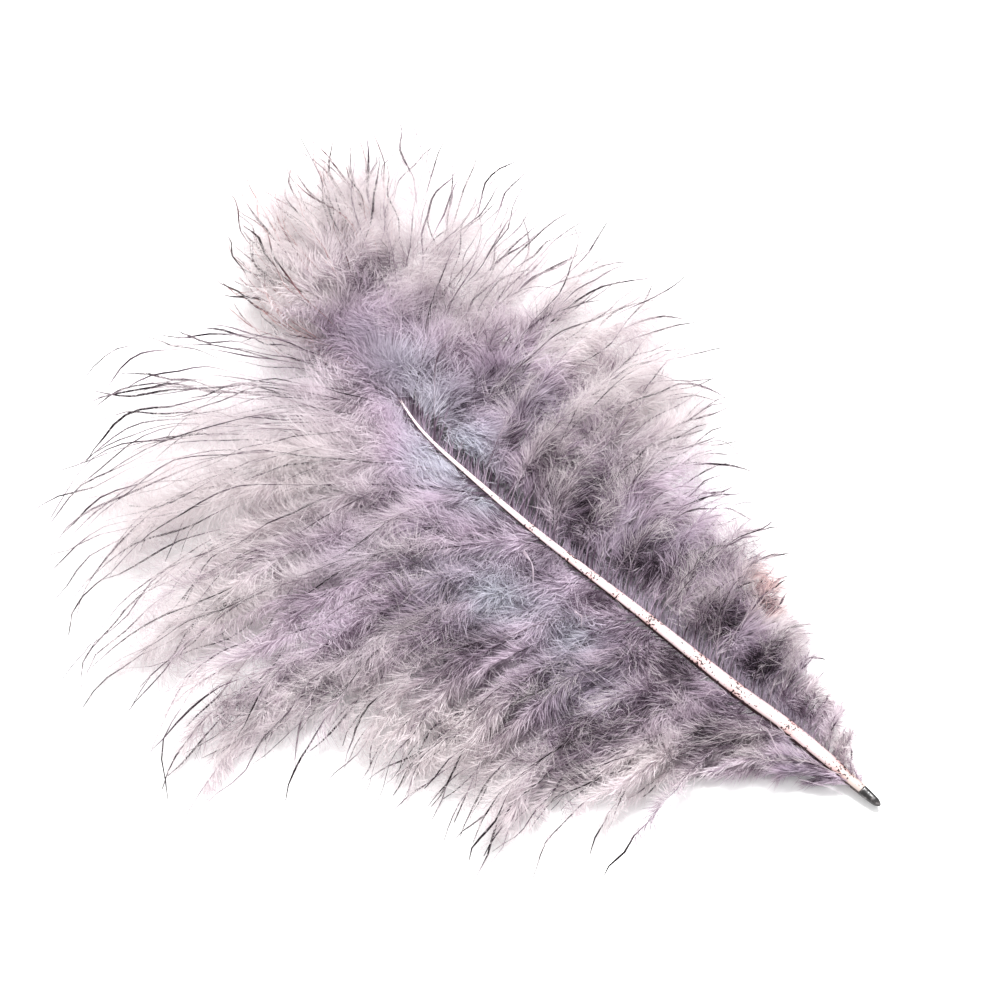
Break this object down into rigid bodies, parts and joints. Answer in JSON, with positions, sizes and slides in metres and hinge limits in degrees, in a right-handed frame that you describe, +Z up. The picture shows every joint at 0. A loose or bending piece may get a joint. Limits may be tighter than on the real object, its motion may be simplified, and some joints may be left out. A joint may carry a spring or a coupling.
{
  "type": "marabou feather",
  "caption": "Soft downy feather lying flat: a tapering curved shaft with fluffy lilac-grey down fanning out on both sides.",
  "frame": {"origin": "middle of the feather's outline seen from above, on the surface that it lies on", "axes": "+X towards the quill tip, along the feather; +Y towards the narrower vane; +Z up, away from the surface"},
  "size_m": [0.1222, 0.1024, 0.0121],
  "materials": {
    "down": "soft matte",
    "shaft": "satin horn, pale with fine dark specks",
    "quill_tip": "glossy dark horn"
  },
  "bodies": {
    "root": {"feather": "down"}
  },
  "joints": []
}
